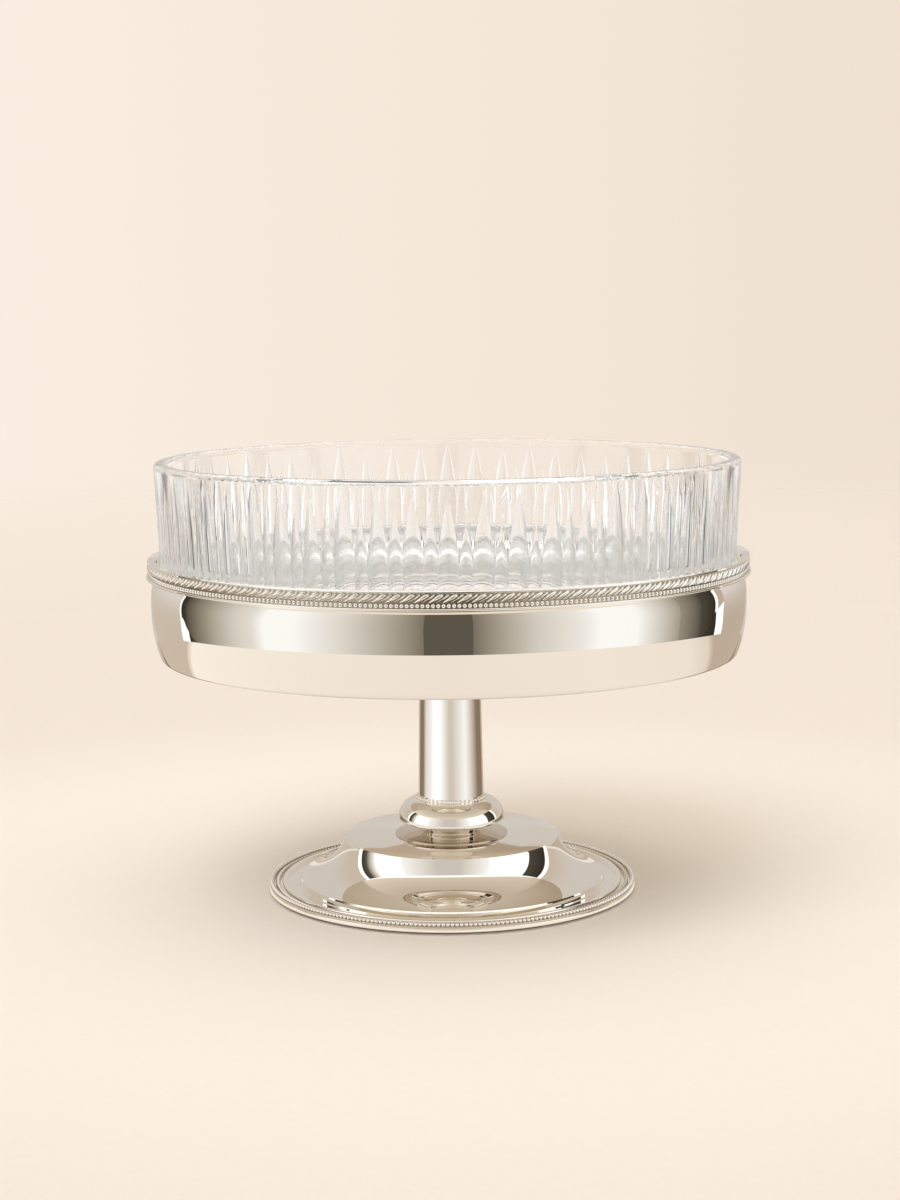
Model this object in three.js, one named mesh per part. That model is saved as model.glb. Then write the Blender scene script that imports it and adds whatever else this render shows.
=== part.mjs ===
// Footed fruit bowl: a cut crystal liner that lifts out of a polished silver-plated bowl,
// held on a tubular stem, a turned knop and a spun foot by one tie rod.
// Millimetres, +Z up. The origin is the middle of the surface that the bowl stands on.
import * as THREE from 'three';

// Clearance between pieces that fit round or into each other
const fitClearance = 0.3;

// Foot: felt ring, spun shell and the wires soldered round its brim
const feltThickness = 1.4;
const feltWidth = 9;
const feltInset = 1.6;
const footSheet = 1.2;
const footRise = 19.9;
const shoulderRadius = 45.7;
const cavettoRun = 18.5;
const lipStep = 2.8;
const brimWidth = 6.2;
const footFilletWidth = 1.6;
const footFilletHeight = 1.8;
const footGrooveWidth = 1.2;
const reedWireWidth = 1.7;
const reedWireHeight = 1.6;
const footSeamWidth = 0.5;
const footBeadWidth = 2.0;
const footBeadHeight = 2.2;
const baseBandProud = 0.1;
const baseBandWall = 1.0;
const baseBandLift = 0.5;

// Stem: turned collar and knop, drawn tube and the ring round its foot
const collarRadius = 23.9;
const collarHeight = 4.35;
const collarEdge = 0.6;
const knopRadius = 22.5;
const knopNeckRadius = 18.85;
const knopHeight = 11.15;
const knopWaist = 4.0;
const stemLength = 54;
const stemFootRadius = 13.8;
const stemHeadRadius = 12.95;
const stemWall = 1.2;
const stemRingWidth = 0.8;
const stemRingHeight = 1.6;

// Bowl boss, soldered under the bowl floor, which centres the head of the tube
const bossConeHeight = 7;
const bossFlangeRadius = 28;
const bossFlangeThickness = 2.4;
const bossSpigotLength = 14;
const bossCap = 7;

// Tie rod and what it clamps
const rodDiameter = 6;
const rodTail = 2.5;
const bushHeight = 12;
const bushStepRadius = 9.5;
const bushTongue = 6;
const spreaderInset = 14.5;
const spreaderThickness = 2;
const washerRadius = 9;
const washerThickness = 1.6;
const springWasherRadius = 5.4;
const springWasherThickness = 1.5;
const springWasherSplit = 0.35;
const nutAcrossFlats = 10;
const nutHeight = 5;

// Bowl: spun shell with a flat lip, and the border soldered under the lip
const bowlSheet = 0.9;
const bowlHeight = 41;
const bellyBulge = 1.72;
const bellyHeight = 23.2;
const bellyDrop = 3.78;
const bellyCurve = 2.5;
const lipWidth = 3.8;
const gadroonHeight = 3.6;
const gadroonCrown = 0.3;
const bowlBeadHeight = 1.9;
const bowlFilletHeight = 0.9;
const bowlFilletProud = 0.6;

// Crystal liner and the pad that it stands on
const padThickness = 1.2;
const padWidth = 8;
const padInset = 4;
const linerRimRadius = 121.5;
const linerTaper = 0.043;
const linerHeight = 79;
const linerWall = 5.4;
const linerFloor = 8;
const linerCornerRadius = 10;
const linerGap = 1.4;
const flutePairs = 48;
const fluteDepth = 2.2;
const tallFluteTip = 3.2;
const shortFluteTip = 8.5;
const fluteOnset = 14;

// Facets round each kind of turned piece
const linerFacets = flutePairs * 4;
const bowlFacets = 56;
const footFacets = 40;
const stemFacets = 24;
const boltFacets = 24;

// Heights that follow from the stack
const brimUnder = feltThickness;
const brimTop = brimUnder + footSheet;
const footTop = brimTop + footRise;
const knopBottom = footTop + collarHeight;
const knopTop = knopBottom + knopHeight;
const stemTop = knopTop + stemLength;
const bowlUnder = stemTop + bossConeHeight + bossFlangeThickness;
const bowlFloor = bowlUnder + bowlSheet;
const lipTop = bowlUnder + bowlHeight;
const lipUnder = lipTop - bowlSheet;
const gadroonBottom = lipUnder - gadroonHeight;
const bowlBeadBottom = gadroonBottom - bowlBeadHeight;
const bowlFilletBottom = bowlBeadBottom - bowlFilletHeight;
const linerBottom = bowlFloor + padThickness;
const linerTop = linerBottom + linerHeight;
const rodHoleEnd = bowlUnder - bossCap;

// Radii that follow from what fits inside what
const rodRadius = rodDiameter / 2;
const rodHole = rodRadius + fitClearance;
const lipRadius = shoulderRadius + cavettoRun;
const footFilletInner = lipRadius + brimWidth;
const footFilletOuter = footFilletInner + footFilletWidth;
const reedInner = footFilletOuter + footGrooveWidth;
const reedOuter = reedInner + reedWireWidth;
const footBeadInner = reedOuter + footSeamWidth;
const footBeadOuter = footBeadInner + footBeadWidth;
const baseRadius = footBeadOuter + baseBandProud;
const brimRadius = baseRadius - baseBandWall - fitClearance;
const spreaderRadius = shoulderRadius - footSheet - spreaderInset;
const stemRingInner = stemFootRadius + fitClearance;
const knopCrownRadius = stemRingInner + stemRingWidth;
const linerRadiusAt = (z) => linerRimRadius - linerTaper * (linerTop - z);
const bowlLipInner = linerRadiusAt(lipTop) + linerGap;
const bowlWallRadius = bowlLipInner + bowlSheet;
const bellyRadius = bowlWallRadius + bellyBulge;
const borderInner = bowlWallRadius + fitClearance;
const borderRadius = bowlLipInner + lipWidth;

// A ring or disc turned about Z from a closed outline of [radius, height] points
function turned(outline, facets) {
  let area = 0;
  outline.forEach(([r, z], i) => {
    const [nextR, nextZ] = outline[(i + 1) % outline.length];
    area += r * nextZ - nextR * z;
  });
  const ordered = area > 0 ? outline : [...outline].reverse();
  const points = ordered.map(([r, z]) => new THREE.Vector2(r, z));
  const onAxis = ordered[0][0] === 0 && ordered[ordered.length - 1][0] === 0;
  if (!onAxis) points.push(points[0].clone());
  return new THREE.LatheGeometry(points, facets).rotateX(Math.PI / 2);
}

function ring(innerRadius, outerRadius, bottom, top, facets) {
  return turned([
    [innerRadius, bottom], [outerRadius, bottom], [outerRadius, top], [innerRadius, top],
  ], facets);
}

// The line at a fixed distance to the left of a path, with mitred corners
function offsetPath(path, distance) {
  const normals = path.slice(1).map(([r, z], i) => {
    const along = new THREE.Vector2(r - path[i][0], z - path[i][1]).normalize();
    return new THREE.Vector2(-along.y, along.x);
  });
  return path.map(([r, z], i) => {
    const before = normals[Math.max(i - 1, 0)];
    const after = normals[Math.min(i, normals.length - 1)];
    const mitre = before.clone().add(after).normalize();
    const reach = distance / mitre.dot(after);
    return [r + mitre.x * reach, z + mitre.y * reach];
  });
}

// Spun sheet: the path and its offset, joined at both ends
function sheetOutline(path, thickness) {
  return [...path, ...offsetPath(path, thickness).reverse()];
}

function bezierPath(start, pull1, pull2, end, steps) {
  const [a, b, c, d] = [start, pull1, pull2, end].map(([r, z]) => new THREE.Vector2(r, z));
  return new THREE.CubicBezierCurve(a, b, c, d).getPoints(steps).map((p) => [p.x, p.y]);
}

function baseFelt() {
  const outer = brimRadius - feltInset;
  return ring(outer - feltWidth, outer, 0, brimUnder, footFacets);
}

// Flat top disc, concave cavetto, upright step and flat brim
function footShell() {
  const lipTopZ = brimTop + lipStep;
  const fall = footTop - lipTopZ;
  const cavetto = bezierPath(
    [shoulderRadius, footTop],
    [shoulderRadius + cavettoRun * 0.08, footTop - fall * 0.42],
    [shoulderRadius + cavettoRun * 0.34, footTop - fall * 0.8],
    [lipRadius, lipTopZ],
    6,
  );
  const brim = [[brimRadius, brimTop], [lipRadius, brimTop]];
  const path = [...brim, ...cavetto.reverse(), [rodHole, footTop]];
  return turned(sheetOutline(path, footSheet), footFacets);
}

// A wire soldered on the brim, flat below and crowned above
function brimWire(innerRadius, outerRadius, height) {
  const shoulder = brimTop + height * 0.55;
  const middle = (innerRadius + outerRadius) / 2;
  return turned([
    [innerRadius, brimTop], [outerRadius, brimTop], [outerRadius, shoulder],
    [middle, brimTop + height], [innerRadius, shoulder],
  ], footFacets);
}

function baseBand() {
  return ring(baseRadius - baseBandWall, baseRadius, baseBandLift, brimTop, footFacets);
}

// Convex flare that spreads the knop's load on the foot
function knopCollar() {
  const flare = bezierPath(
    [collarRadius, footTop + collarEdge],
    [collarRadius, footTop + collarHeight * 0.55],
    [knopNeckRadius + 1.6, knopBottom - collarHeight * 0.1],
    [knopNeckRadius, knopBottom],
    4,
  );
  return turned([
    [rodHole, footTop], [collarRadius, footTop], ...flare, [rodHole, knopBottom],
  ], stemFacets);
}

// Flattened torus, bored for the bush
function knop() {
  const bore = bushStepRadius + fitClearance;
  const waist = knopBottom + knopWaist;
  const lower = bezierPath(
    [knopNeckRadius, knopBottom],
    [knopNeckRadius + (knopRadius - knopNeckRadius) * 0.7, knopBottom],
    [knopRadius, waist - knopWaist * 0.6],
    [knopRadius, waist],
    3,
  );
  const upper = bezierPath(
    [knopRadius, waist],
    [knopRadius, waist + (knopTop - waist) * 0.6],
    [knopCrownRadius + (knopRadius - knopCrownRadius) * 0.45, knopTop],
    [knopCrownRadius, knopTop],
    5,
  );
  return turned([
    [bore, knopBottom], ...lower, ...upper.slice(1), [bore, knopTop],
  ], stemFacets);
}

function stemRadiusAt(z) {
  return THREE.MathUtils.mapLinear(z, knopTop, stemTop, stemFootRadius, stemHeadRadius);
}

function stemTube() {
  return turned([
    [stemFootRadius - stemWall, knopTop], [stemFootRadius, knopTop],
    [stemHeadRadius, stemTop], [stemHeadRadius - stemWall, stemTop],
  ], stemFacets);
}

function stemBaseRing() {
  return ring(stemRingInner, knopCrownRadius, knopTop, knopTop + stemRingHeight, stemFacets);
}

// Bush that centres tube, knop and rod: its step fills the tube, its tongue enters the knop
function stemBush() {
  const stepTop = knopTop + bushHeight;
  const stepRadius = stemRadiusAt(stepTop) - stemWall - fitClearance;
  return turned([
    [rodHole, knopTop - bushTongue], [bushStepRadius, knopTop - bushTongue],
    [bushStepRadius, knopTop], [stepRadius, knopTop], [stepRadius, stepTop], [rodHole, stepTop],
  ], stemFacets);
}

// Flange under the bowl floor, cone down to the tube, spigot inside it and a blind rod hole
function bowlBoss() {
  const flangeUnder = bowlUnder - bossFlangeThickness;
  const spigotRadius = stemRadiusAt(stemTop) - stemWall - fitClearance;
  const spigotEnd = stemTop - bossSpigotLength;
  const cone = bezierPath(
    [stemHeadRadius, stemTop],
    [stemHeadRadius, stemTop + bossConeHeight * 0.7],
    [stemHeadRadius + bossConeHeight * 0.3, flangeUnder],
    [stemHeadRadius + bossConeHeight * 0.8, flangeUnder],
    4,
  );
  return turned([
    [0, rodHoleEnd], [rodHole, rodHoleEnd], [rodHole, spigotEnd], [spigotRadius, spigotEnd],
    [spigotRadius, stemTop], ...cone, [bossFlangeRadius, flangeUnder],
    [bossFlangeRadius, bowlUnder], [0, bowlUnder],
  ], stemFacets);
}

// Faces of the clamp stack, from the foot's underside down
const spreaderTop = footTop - footSheet;
const washerTop = spreaderTop - spreaderThickness;
const springWasherTop = washerTop - washerThickness;
const nutTop = springWasherTop - springWasherThickness;
const nutBottom = nutTop - nutHeight;

function tieRod() {
  const top = rodHoleEnd - fitClearance;
  const bottom = nutBottom - rodTail;
  return turned([[0, bottom], [rodRadius, bottom], [rodRadius, top], [0, top]], boltFacets);
}

function spreaderPlate() {
  return ring(rodHole, spreaderRadius, washerTop, spreaderTop, stemFacets);
}

function flatWasher() {
  return ring(rodHole, washerRadius, springWasherTop, washerTop, stemFacets);
}

// Split ring, its ends a small angle apart
function springWasher() {
  const shape = new THREE.Shape();
  const end = 2 * Math.PI - springWasherSplit;
  shape.absarc(0, 0, springWasherRadius, springWasherSplit, end, false);
  shape.absarc(0, 0, rodHole, end, springWasherSplit, true);
  const solid = new THREE.ExtrudeGeometry(shape, {
    depth: springWasherThickness, bevelEnabled: false, curveSegments: boltFacets,
  });
  return solid.translate(0, 0, nutTop);
}

function hexNut() {
  const shape = new THREE.Shape();
  const corner = nutAcrossFlats / Math.sqrt(3);
  for (let side = 0; side < 6; side += 1) {
    const angle = side * Math.PI / 3;
    const place = [corner * Math.cos(angle), corner * Math.sin(angle)];
    if (side === 0) shape.moveTo(...place);
    else shape.lineTo(...place);
  }
  shape.closePath();
  shape.holes.push(new THREE.Path().absarc(0, 0, rodHole, 0, 2 * Math.PI, true));
  const solid = new THREE.ExtrudeGeometry(shape, {
    depth: nutHeight, bevelEnabled: false, curveSegments: boltFacets,
  });
  return solid.translate(0, 0, nutBottom);
}

// Outer radius of the bowl's flank at a height above its underside
function flankRadius(height) {
  const wallStart = bowlFilletBottom - bowlUnder - fitClearance;
  if (height <= bellyHeight) {
    return bellyRadius - bellyDrop * ((bellyHeight - height) / bellyHeight) ** bellyCurve;
  }
  const rise = Math.min((height - bellyHeight) / (wallStart - bellyHeight), 1);
  return bellyRadius - bellyBulge * rise ** bellyCurve;
}

// Flat floor, bellied flank, upright wall behind the border and flat lip
function bowlShell() {
  const wallStart = bowlFilletBottom - bowlUnder - fitClearance;
  const lower = [0, 0.18, 0.4, 0.7, 1].map((share) => share * bellyHeight);
  const upper = [0.45, 0.75, 1].map((share) => bellyHeight + share * (wallStart - bellyHeight));
  const flank = [...lower, ...upper].map((h) => [flankRadius(h), bowlUnder + h]);
  const path = [[0, bowlUnder], ...flank, [bowlWallRadius, lipUnder], [borderRadius, lipUnder]];
  return turned(sheetOutline(path, bowlSheet), bowlFacets);
}

// Crowned band that carries the slanted lobes
function gadroonBorder() {
  const middle = (lipUnder + gadroonBottom) / 2;
  return turned([
    [borderInner, gadroonBottom], [borderRadius, gadroonBottom],
    [borderRadius + gadroonCrown, middle], [borderRadius, lipUnder], [borderInner, lipUnder],
  ], bowlFacets);
}

function bowlBeadWire() {
  return ring(borderInner, borderRadius, bowlBeadBottom, gadroonBottom, bowlFacets);
}

function bowlFilletWire() {
  const outer = borderRadius + bowlFilletProud;
  return ring(borderInner, outer, bowlFilletBottom, bowlBeadBottom, bowlFacets);
}

const linerBaseRadius = linerRadiusAt(linerBottom) - linerCornerRadius;

function linerPad() {
  const outer = linerBaseRadius - padInset;
  return ring(outer - padWidth, outer, bowlFloor, linerBottom, footFacets);
}

// Depth of a pointed flute at a height: nothing at its tip, full a little way below it
function fluteDepthAt(z, tipDrop) {
  const tip = linerTop - tipDrop;
  const foot = linerBottom + linerCornerRadius;
  const fromTip = THREE.MathUtils.clamp((tip - z) / fluteOnset, 0, 1);
  const fromFoot = z > foot ? 1 : 0;
  return fluteDepth * Math.sin(fromTip * Math.PI / 2) ** 0.7 * fromFoot;
}

// Closed glass body: a grid of rows round the axis, tall and short flutes by turns
function crystalLiner() {
  const rim = linerWall / 2;
  const foot = linerBottom + linerCornerRadius;
  const fluted = [
    foot + 4, linerTop - shortFluteTip - fluteOnset, linerTop - tallFluteTip - fluteOnset * 0.35,
    linerTop - tallFluteTip,
  ];
  const innerFloor = linerBottom + linerFloor;
  const innerCorner = linerCornerRadius * 0.7;
  const innerAt = (z) => linerRadiusAt(z) - linerWall;
  const outside = [
    [linerBaseRadius, linerBottom],
    [linerBaseRadius + linerCornerRadius * 0.7, linerBottom + linerCornerRadius * 0.3],
    [linerRadiusAt(foot), foot],
    ...fluted.map((z) => [linerRadiusAt(z), z]),
    [linerRadiusAt(linerTop - rim * 0.8), linerTop - rim * 0.8],
    [linerRimRadius - rim * 0.5, linerTop],
  ];
  const inside = [
    [linerRimRadius - rim * 1.5, linerTop],
    [innerAt(linerTop - rim), linerTop - rim],
    [innerAt(innerFloor + innerCorner), innerFloor + innerCorner],
    [innerAt(innerFloor) - innerCorner, innerFloor],
  ];
  const rows = [...outside, ...inside];
  const positions = [];
  rows.forEach(([r, z], row) => {
    for (let column = 0; column < linerFacets; column += 1) {
      const angle = column / linerFacets * 2 * Math.PI;
      let depth = 0;
      if (row < outside.length && column % 4 === 0) depth = fluteDepthAt(z, tallFluteTip);
      if (row < outside.length && column % 4 === 2) depth = fluteDepthAt(z, shortFluteTip);
      positions.push((r - depth) * Math.sin(angle), -(r - depth) * Math.cos(angle), z);
    }
  });
  const underCentre = positions.length / 3;
  positions.push(0, 0, linerBottom, 0, 0, innerFloor);
  const floorCentre = underCentre + 1;
  const faces = [];
  const lastRow = (rows.length - 1) * linerFacets;
  for (let column = 0; column < linerFacets; column += 1) {
    const next = (column + 1) % linerFacets;
    for (let row = 0; row < rows.length - 1; row += 1) {
      const below = row * linerFacets;
      const above = below + linerFacets;
      faces.push(below + column, below + next, above + next);
      faces.push(below + column, above + next, above + column);
    }
    faces.push(underCentre, next, column);
    faces.push(floorCentre, lastRow + column, lastRow + next);
  }
  const geometry = new THREE.BufferGeometry();
  geometry.setAttribute('position', new THREE.Float32BufferAttribute(positions, 3));
  geometry.setIndex(faces);
  geometry.computeVertexNormals();
  return geometry;
}

function metal(colour, roughness) {
  return new THREE.MeshStandardMaterial({ color: colour, metalness: 1, roughness });
}

function matte(colour, roughness) {
  return new THREE.MeshStandardMaterial({ color: colour, metalness: 0, roughness });
}

const silver = 0xe9e4da;
const brass = 0xc9a867;
const steel = 0xa9a9a6;
const crystal = () => new THREE.MeshStandardMaterial({
  color: 0xf4f8f9, metalness: 0, roughness: 0.03, transparent: true, opacity: 0.4,
});

const standPieces = [
  ['base_felt', baseFelt(), matte(0x2b2a28, 0.95)],
  ['foot_shell', footShell(), metal(silver, 0.06)],
  ['foot_base_band', baseBand(), metal(silver, 0.08)],
  ['foot_bead_wire', brimWire(footBeadInner, footBeadOuter, footBeadHeight), metal(silver, 0.12)],
  ['foot_reed_wire', brimWire(reedInner, reedOuter, reedWireHeight), metal(silver, 0.14)],
  ['foot_fillet_wire', brimWire(footFilletInner, footFilletOuter, footFilletHeight),
    metal(silver, 0.08)],
  ['knop_collar', knopCollar(), metal(silver, 0.06)],
  ['knop', knop(), metal(silver, 0.06)],
  ['stem_tube', stemTube(), metal(silver, 0.07)],
  ['stem_base_ring', stemBaseRing(), metal(silver, 0.08)],
  ['stem_bush', stemBush(), metal(brass, 0.3)],
  ['bowl_boss', bowlBoss(), metal(silver, 0.1)],
  ['tie_rod', tieRod(), metal(steel, 0.35)],
  ['spreader_plate', spreaderPlate(), metal(brass, 0.3)],
  ['flat_washer', flatWasher(), metal(steel, 0.35)],
  ['spring_washer', springWasher(), metal(steel, 0.4)],
  ['hex_nut', hexNut(), metal(steel, 0.35)],
  ['bowl_shell', bowlShell(), metal(silver, 0.05)],
  ['gadroon_border', gadroonBorder(), metal(silver, 0.12)],
  ['bowl_bead_wire', bowlBeadWire(), metal(silver, 0.12)],
  ['bowl_fillet_wire', bowlFilletWire(), metal(silver, 0.08)],
  ['liner_pad', linerPad(), matte(0x8d8a84, 0.9)],
];
const linerPieces = [['crystal_liner', crystalLiner(), crystal()]];

function body(name, pieces) {
  const assembly = new THREE.Group();
  assembly.name = name;
  for (const [pieceName, geometry, material] of pieces) {
    const mesh = new THREE.Mesh(geometry, material);
    mesh.name = pieceName;
    assembly.add(mesh);
  }
  return assembly;
}

const group = new THREE.Group();
group.name = 'footed_fruit_bowl';
group.add(body('stand', standPieces), body('liner', linerPieces));

export default group;
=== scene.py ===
"""Footed fruit bowl: a cut crystal liner in a polished silver-plated bowl on a stem and foot.

Metres, +Z up, the front towards -Y. The file is laid out as an add-on and is run as a script.
"""
import math
import random

import bpy
from bpy.props import FloatProperty, FloatVectorProperty, IntProperty, PointerProperty
from mathutils import Matrix, Vector


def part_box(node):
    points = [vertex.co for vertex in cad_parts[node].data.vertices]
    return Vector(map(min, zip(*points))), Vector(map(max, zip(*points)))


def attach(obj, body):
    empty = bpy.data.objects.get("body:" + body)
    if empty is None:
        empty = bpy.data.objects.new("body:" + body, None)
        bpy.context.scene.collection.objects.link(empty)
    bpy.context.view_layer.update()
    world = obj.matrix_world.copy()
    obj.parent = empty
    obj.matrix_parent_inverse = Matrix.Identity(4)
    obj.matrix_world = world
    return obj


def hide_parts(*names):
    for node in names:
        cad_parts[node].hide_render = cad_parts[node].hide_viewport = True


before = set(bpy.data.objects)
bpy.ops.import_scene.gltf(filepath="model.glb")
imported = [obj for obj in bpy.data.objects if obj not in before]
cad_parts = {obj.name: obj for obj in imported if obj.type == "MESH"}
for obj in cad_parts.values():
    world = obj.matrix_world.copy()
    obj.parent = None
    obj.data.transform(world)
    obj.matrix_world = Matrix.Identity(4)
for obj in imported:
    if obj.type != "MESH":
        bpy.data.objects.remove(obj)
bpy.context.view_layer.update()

bl_info = {
    "name": "Footed fruit bowl",
    "version": (1, 0, 0),
    "blender": (4, 5, 0),
    "location": "View3D > Sidebar > Fruit bowl",
    "description": "Models a silver-plated footed fruit bowl with a cut crystal liner",
    "category": "Add Mesh",
}

CENTRE = (0.0, 0.0, 0.0)
UPWARDS = (0.0, 0.0, 1.0)
WELD = 1e-6
EASING_STEPS = 4
GLASS_STEPS, BOWL_STEPS, FOOT_STEPS, KNOP_STEPS, STEM_STEPS = 384, 288, 224, 192, 160
PLATE_STEPS, WASHER_STEPS, FLANK_STEPS = 128, 96, 36
TUBE_ANGLE, GLASS_ANGLE, SHEET_ANGLE, EDGE_ANGLE, BEAD_ANGLE = 8, 12, 30, 40, 60
FLOOR_RADIUS, FLOOR_STEPS, CARD_STEPS = 2.5, 96, 96
GLASS_BOUNCES, SILVER_BOUNCES = 64, 48
KEY_TONE, KEY_BREADTH, KEY_LEAN = (1, 1.14, 1.32), 40, (28, 20)
FILL_TONE, FILL_BREADTH, FILL_LEAN = (1, 0.945, 0.875), 90, (0, 0)
SENSOR_WIDTH = 36
# Near black painted at the foot band's bottom edge as the contact shadow on the floor
PAINTED_CONTACT_SHADOW = (0.10, 0.07, 0.05)


def reach(node):
    """Largest radius of a turned part."""
    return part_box(node)[1].x


def bottom(node):
    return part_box(node)[0].z


def top(node):
    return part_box(node)[1].z


def extent(node):
    """Largest radius, bottom and top of a turned part."""
    return reach(node), bottom(node), top(node)


def length(description, default):
    return FloatProperty, dict(description=description, default=default, unit="LENGTH",
                               subtype="DISTANCE", precision=5)


def number(description, default):
    return FloatProperty, dict(description=description, default=default)


def angle(description, degrees):
    return FloatProperty, dict(description=description, default=math.radians(degrees), subtype="ANGLE")


def count(description, default):
    return IntProperty, dict(description=description, default=default, min=3)


def colour(description, default):
    return FloatVectorProperty, dict(description=description, default=default, size=3, subtype="COLOR",
                                     min=0, max=1)


def factor(description, default, high=1.0):
    return FloatProperty, dict(description=description, default=default, min=0, max=high,
                               subtype="FACTOR")


def labelled(group):
    """Make the settings of a group, each with its own name in words as its label."""
    for name, (make, options) in group.__annotations__.items():
        group.__annotations__[name] = make(name=name.replace("_", " ").capitalize(), **options)
    return group


@labelled
class LinerSizes(bpy.types.PropertyGroup):
    """Sizes of the cut crystal liner."""
    rim_radius: length("Outer radius at the rim", reach("crystal_liner"))
    rim_height: length("Height of the rim", top("crystal_liner"))
    base_height: length("Height of the underside", bottom("crystal_liner"))
    taper: number("Fall in radius for each metre down", 0.043)
    wall: length("Thickness of the glass wall", 0.0054)
    floor: length("Thickness of the glass floor", 0.008)
    corner: length("Outer rounding between wall and base", 0.010)
    rim_easing: length("Rounding of the fire-polished rim", 0.0021)
    flute_pairs: count("Tall and short flutes round the glass", 58)
    tall_width: length("Half the width of a tall flute", 0.0042)
    tall_depth: length("Depth of a tall flute", 0.0011)
    tall_tip: length("Tip below the rim", 0.0046)
    tall_onset: length("Length over which it opens", 0.030)
    short_width: length("Half the width of a short flute", 0.0027)
    short_depth: length("Depth of a short flute", 0.0008)
    short_tip: length("Tip below the rim", 0.0145)
    short_onset: length("Length over which it opens", 0.022)
    tip_scatter: length("How far hand-cut tips stray in height", 0.0026)
    width_scatter: factor("How far hand-cut flutes stray in width", 0.10)


@labelled
class BowlSizes(bpy.types.PropertyGroup):
    """Sizes of the silver bowl."""
    lip_radius: length("Outer radius of the flat lip", reach("bowl_shell"))
    lip_height: length("Height of the flat lip", top("bowl_shell"))
    under_height: length("Height of the flat underside", bottom("bowl_shell"))
    wall_radius: length("Outer radius behind the border", 0.12208)
    sheet: length("Thickness of the spun metal", 0.0009)
    belly_bulge: length("How far the belly stands past the wall", 0.00172)
    belly_rise: length("Height of the belly above the underside", 0.0232)
    belly_drop: length("Fall in radius from belly to lower edge", 0.00378)
    belly_power: number("How late the flank turns in", 2.5)
    edge_easing: length("Rounding of the lower edge", 0.0009)


@labelled
class BorderSizes(bpy.types.PropertyGroup):
    """Sizes of the gadroon border and its wires."""
    lobes: count("Gadroon lobes round the border", 148)
    lobe_width: length("Half width of a lobe at its head", 0.0021)
    lobe_stand: length("How far a lobe stands out", 0.0014)
    lobe_lean: length("Sideways shift from foot to head of a lobe", 0.0050)
    reed_width: length("Half width of the reed between two lobes", 0.0011)
    reed_stand: length("How far a reed stands out", 0.0010)
    beads: count("Beads in the row under the lobes", 406)
    bead_radius: length("Radius of one bead", 0.0009)


@labelled
class StemSizes(bpy.types.PropertyGroup):
    """Sizes of the tube, knop and collar."""
    foot_radius: length("Outer radius at the foot of the tube", reach("stem_tube"))
    head_radius: length("Outer radius at the head of the tube", 0.01295)
    tube_wall: length("Thickness of the drawn tube", 0.0012)
    knop_radius: length("Widest radius of the knop", reach("knop"))
    knop_neck: length("Radius of the hollow under the knop", 0.0116)
    knop_crown: length("Radius of the knop's flat crown", 0.0149)
    knop_waist: length("Height of the widest line above the neck", 0.0029)
    collar_rim: length("Radius of the collar's rolled rim", 0.00042)
    ring_beads: count("Beads in the bright ring at the tube's foot", 46)
    bore: length("Radius of the hole for the tie rod", 0.0033)


@labelled
class FootSizes(bpy.types.PropertyGroup):
    """Sizes of the spun foot and its wires."""
    sheet: length("Thickness of the spun metal", 0.0012)
    shoulder_radius: length("Radius of the flat top", 0.0457)
    lip_radius: length("Radius of the upright step", 0.0642)
    lip_step: length("Height of the upright step", 0.0028)
    dome_start: length("Radius where the top's polished dome starts", 0.0240)
    dome_slope: angle("Lean of the polish on the flat top", 14)
    beads: count("Beads in the outer row", 264)
    bead_radius: length("Radius of one bead", 0.00088)
    reeds: count("Slanted reeds in the fine wire", 240)


@labelled
class Finishes(bpy.types.PropertyGroup):
    """Colours and polish of the materials."""
    silver: colour("Reflectance of polished silver plate", (0.945, 0.925, 0.885))
    # painted light: the inside silver is brighter than the outside silver, to make up for light lost
    # behind the glass
    silver_inside_painted_light: colour("Bright silver behind the glass", (0.985, 0.982, 0.975))
    # painted shade: the underside silver is darker than the rest for the shade under the bowl
    silver_underside_painted_shade: colour("Toned silver under the bowl", (0.80, 0.76, 0.70))
    # painted shade: the collar silver is darker for the shade under the knop
    silver_collar_painted_shade: colour("Faintly toned silver of the collar", (0.66, 0.59, 0.50))
    # painted shade: the darker silver laid into the recesses of the cast borders and wires
    silver_recess_painted_shade: colour("Toned silver in the recesses", (0.62, 0.56, 0.48))
    silver_polish: factor("Roughness of the mirror polish", 0.010)
    border_polish: factor("Roughness of the cast borders", 0.11)
    crystal: colour("Tint of the glass", (0.998, 0.999, 1.0))
    crystal_bend: number("Index of refraction", 1.54)
    brass: colour("Turned brass", (0.78, 0.60, 0.32))
    steel: colour("Bright zinc on steel", (0.62, 0.62, 0.60))
    felt: colour("Wool felt", (0.055, 0.050, 0.046))
    pad: colour("Soft ring under the glass", (0.93, 0.92, 0.89))


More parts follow.
